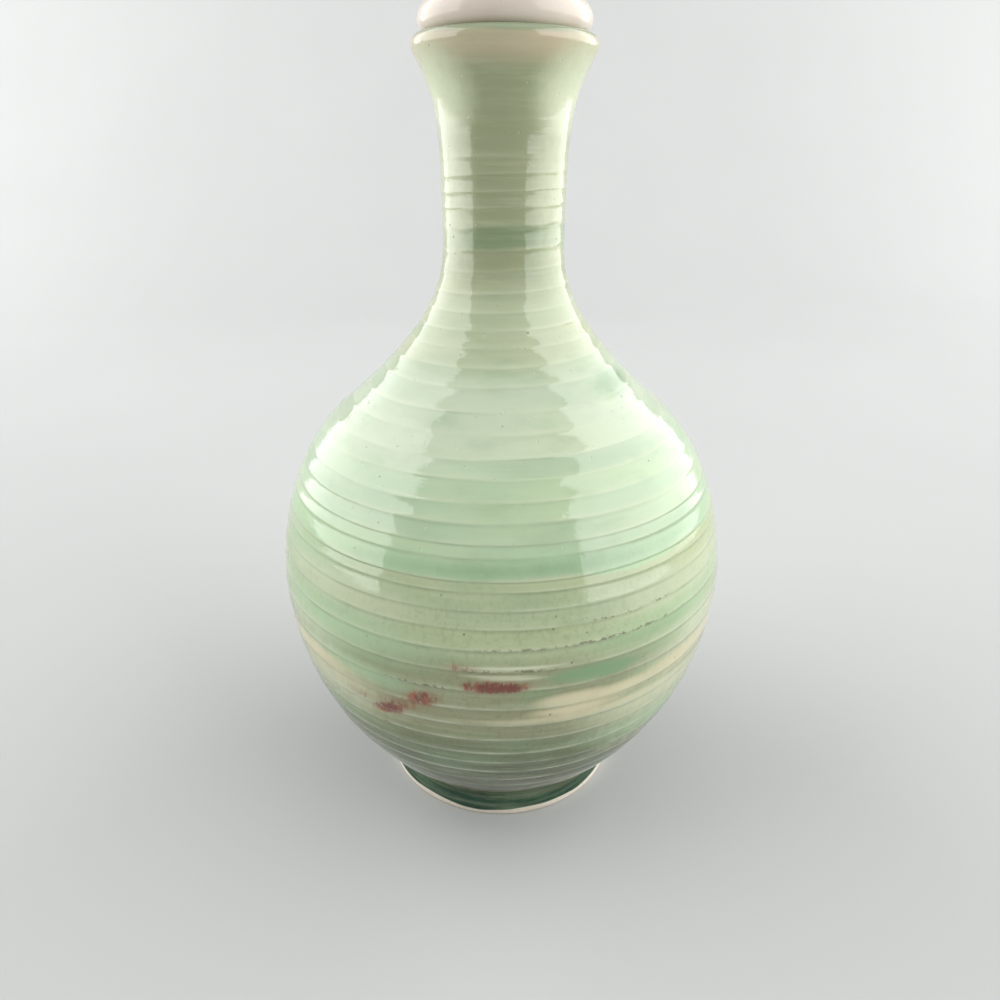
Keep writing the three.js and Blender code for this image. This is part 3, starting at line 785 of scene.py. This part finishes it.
def make_tube(brass):
    """The brass tube: its rim, flange and bore, and the screw thread on its lower end."""
    bm = bmesh.new()
    flange_top = FLANGE_BOTTOM + FLANGE_THICKNESS
    spin(bm, [(TUBE_RADIUS, THREAD_TOP), (TUBE_RADIUS, FLANGE_BOTTOM)]
         + round_off((FLANGE_RADIUS - 0.3, FLANGE_BOTTOM + 0.3), 0.3, -90, 0, 3)
         + round_off((FLANGE_RADIUS - 0.5, flange_top - 0.5), 0.5, 0, 90, 4)
         + round_off((TUBE_RADIUS + 0.6, flange_top + 0.7), 0.6, 255, 180, 4)
         + round_off((TUBE_RADIUS - 0.25, TUBE_TOP - 0.25), 0.25, 0, 90, 3)
         + round_off((TUBE_BORE_RADIUS + 0.2, TUBE_TOP - 0.2), 0.2, 90, 180, 3)
         + [(TUBE_BORE_RADIUS, TUBE_BOTTOM), (TUBE_RADIUS - 0.3, TUBE_BOTTOM),
            (TUBE_RADIUS, TUBE_BOTTOM + 0.3)], TUBE_COLUMNS)
    turns = range(-2, math.ceil((THREAD_TOP - TUBE_BOTTOM) / THREAD_PITCH) + 2)
    wind(bm, [0, 0.5], turns, TUBE_COLUMNS, on_the_thread)
    bmesh.ops.remove_doubles(bm, verts=bm.verts, dist=WINDING_WELD)
    return finished("wick_tube_turned", bm, brass, smooth_angle=30)


STRANDS = 16
BRAID_LAY = 9.5
STRAND_RADIUS = 0.42
STRAND_WEAVE = 0.2
POINTS_PER_LAY = 32


def make_wick(cotton):
    """A round braided wick: half of its strands wind one way and half the other, over and under."""
    strands = bpy.data.curves.new("strands", "CURVE")
    strands.dimensions = "3D"
    strands.bevel_depth = STRAND_RADIUS * MM
    strands.bevel_resolution = 1
    strands.use_fill_caps = True
    lays = (WICK_TOP - 0.5 - WICK_BOTTOM) / BRAID_LAY
    steps = math.ceil(lays * POINTS_PER_LAY)
    middle = WICK_RADIUS - STRAND_RADIUS - STRAND_WEAVE
    for strand in range(STRANDS):
        way = 1 if strand % 2 else -1
        start = FULL_TURN * (strand // 2) / (STRANDS / 2)
        spline = strands.splines.new("POLY")
        spline.points.add(steps)
        for i in range(steps + 1):
            wound = FULL_TURN * lays * i / steps
            height = mix(WICK_BOTTOM + 0.25, WICK_TOP - 0.45, i / steps)
            angle = start + way * wound
            weave = STRAND_WEAVE * math.sin(STRANDS / 2 * wound) * way
            drawn_in = 0.75 * smooth_step(WICK_TOP - 2.2, WICK_TOP - 0.2, height)
            reach = (middle + weave - drawn_in) * MM
            spline.points[i].co = (reach * math.cos(angle), reach * math.sin(angle), height * MM, 1)
    braid = bpy.data.objects.new("braid", strands)
    bm = bmesh.new()
    bm.from_mesh(bpy.data.meshes.new_from_object(braid))
    bpy.data.objects.remove(braid)
    bpy.data.curves.remove(strands)
    core = middle - 0.1
    spin(bm, [(0, WICK_BOTTOM), (core, WICK_BOTTOM + 0.1), (core, WICK_TOP - 1.8),
              (core - 0.7, WICK_TOP - 0.2), (0, WICK_TOP)],
         WICK_COLUMNS)
    bmesh.ops.remove_doubles(bm, verts=bm.verts, dist=WELD)
    return finished("wick_braided", bm, cotton, smooth_angle=70)


# Setting out: each piece rides on its body and stands for its solid

def dress(piece, node, body):
    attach(piece, body)
    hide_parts(node)


brass = turned_brass()
fibre = red_fibre()
dress(make_bottle(celadon_glaze()), "bottle", "bottle_body")
dress(make_disc(glazed_porcelain()), "wick_holder", "holder")
dress(make_cork(natural_cork()), "cork_sleeve", "sleeve")
dress(make_tube(brass), "wick_tube", "holder")
dress(make_wick(wick_cotton()), "wick", "wick_body")
for node, look in (("tube_nut", brass), ("flange_washer", fibre), ("stem_washer", fibre)):
    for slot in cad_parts[node].material_slots:
        slot.material = look


# The room, in metres: pale paper that sweeps up behind, a soft panel each side and a faint one above
PAPER_FRONT = -1.3
PAPER_BACK = 1.5
PAPER_HALF_WIDTH = 1.2
PAPER_TOP = 2.6
SWEEP_RADIUS = 0.6
PANEL_HEIGHT = 2.04
PANEL_MIDDLE = 1.03
LEFT_PANEL_WIDTH = 2.18
LEFT_PANEL_BACK = 0.35
RIGHT_PANEL_WIDTH = 2.88
TOP_PANEL_WIDTH = 1.4
ROOM_COLOUR = (0.9, 0.92, 0.93, 1)
ROOM_LIGHT = 0.31
ROOM_SEEN = 0.78


def pale_paper():
    """The paper that the lamp stands on and that sweeps up behind it."""
    finish, tree, shader, position = new_finish("pale_paper", Roughness=0.9, Specular_IOR_Level=0.1)
    faint = mottle(tree, position, 3, 2.0)
    wire(tree, shader, blend_colour(tree, faint, srgb(202, 203, 202), srgb(196, 197, 196)))
    return finish


def make_floor():
    """The paper: flat, then swept up in a quarter circle to a wall behind."""
    bm = bmesh.new()
    side = [(PAPER_FRONT, 0), (PAPER_BACK - SWEEP_RADIUS, 0)]
    for i in range(1, 9):
        angle = math.radians(10 * i)
        side.append((PAPER_BACK - SWEEP_RADIUS + SWEEP_RADIUS * math.sin(angle),
                     SWEEP_RADIUS - SWEEP_RADIUS * math.cos(angle)))
    side += [(PAPER_BACK, SWEEP_RADIUS), (PAPER_BACK, PAPER_TOP)]
    line = chain(bm, [(-PAPER_HALF_WIDTH, y, z) for y, z in side])
    edges = [part for part in line if isinstance(part, bmesh.types.BMEdge)]
    swept = bmesh.ops.extrude_edge_only(bm, edges=edges)
    moved = [part for part in swept["geom"] if isinstance(part, bmesh.types.BMVert)]
    bmesh.ops.translate(bm, verts=moved, vec=(2 * PAPER_HALF_WIDTH, 0, 0))
    floor = finished("floor", bm, pale_paper())


def add_panel(name, place, aim, width, height, power):
    """A soft oblong light at place, turned to aim."""
    light = bpy.data.lights.new(name, "AREA")
    light.shape = "RECTANGLE"
    light.size = width
    light.size_y = height
    light.energy = power
    panel = bpy.data.objects.new(name, light)
    panel.visible_camera = False
    panel.location = place
    panel.rotation_euler = (Vector(aim) - Vector(place)).to_track_quat("-Z", "Y").to_euler()
    bpy.context.scene.collection.objects.link(panel)


def make_room():
    make_floor()
    add_panel("left_panel", (-PAPER_HALF_WIDTH, LEFT_PANEL_BACK, PANEL_MIDDLE),
              (0, LEFT_PANEL_BACK, PANEL_MIDDLE), LEFT_PANEL_WIDTH, PANEL_HEIGHT, power=34)
    add_panel("right_panel", (PAPER_HALF_WIDTH, 0, PANEL_MIDDLE), (0, 0, PANEL_MIDDLE),
              RIGHT_PANEL_WIDTH, PANEL_HEIGHT, power=45)
    add_panel("top_panel", (0, 0.2, 1.3), (0, 0, 0.1), TOP_PANEL_WIDTH, TOP_PANEL_WIDTH, power=2)
    world = bpy.data.worlds.new("room")
    world.use_nodes = True
    tree = world.node_tree
    background = tree.nodes["Background"]
    background.inputs["Color"].default_value = ROOM_COLOUR
    ray = add(tree, "ShaderNodeLightPath").outputs
    seen = work_out(tree, "MAXIMUM", ray["Is Camera Ray"],
                    work_out(tree, "MAXIMUM", ray["Is Glossy Ray"], ray["Is Transmission Ray"]))
    strength = scaled(tree, seen, ROOM_SEEN - ROOM_LIGHT, ROOM_LIGHT)
    tree.links.new(strength, background.inputs["Strength"])
    bpy.context.scene.world = world


def make_camera():
    lens = bpy.data.cameras.new("camera")
    lens.sensor_width = SENSOR_WIDTH
    lens.lens = FOCAL_LENGTH_IN_PIXELS * SENSOR_WIDTH / PHOTO_WIDTH
    camera = bpy.data.objects.new("camera", lens)
    turned = Matrix.Rotation(math.pi / 2 - CAMERA_PITCH, 4, "X") @ Matrix.Rotation(CAMERA_ROLL, 4, "Z")
    camera.matrix_world = Matrix.Translation((CAMERA_SIDEWAYS, -CAMERA_BACK, CAMERA_HEIGHT)) @ turned
    bpy.context.scene.collection.objects.link(camera)
    bpy.context.scene.camera = camera


make_room()
make_camera()
bpy.context.scene.view_settings.view_transform = "Standard"
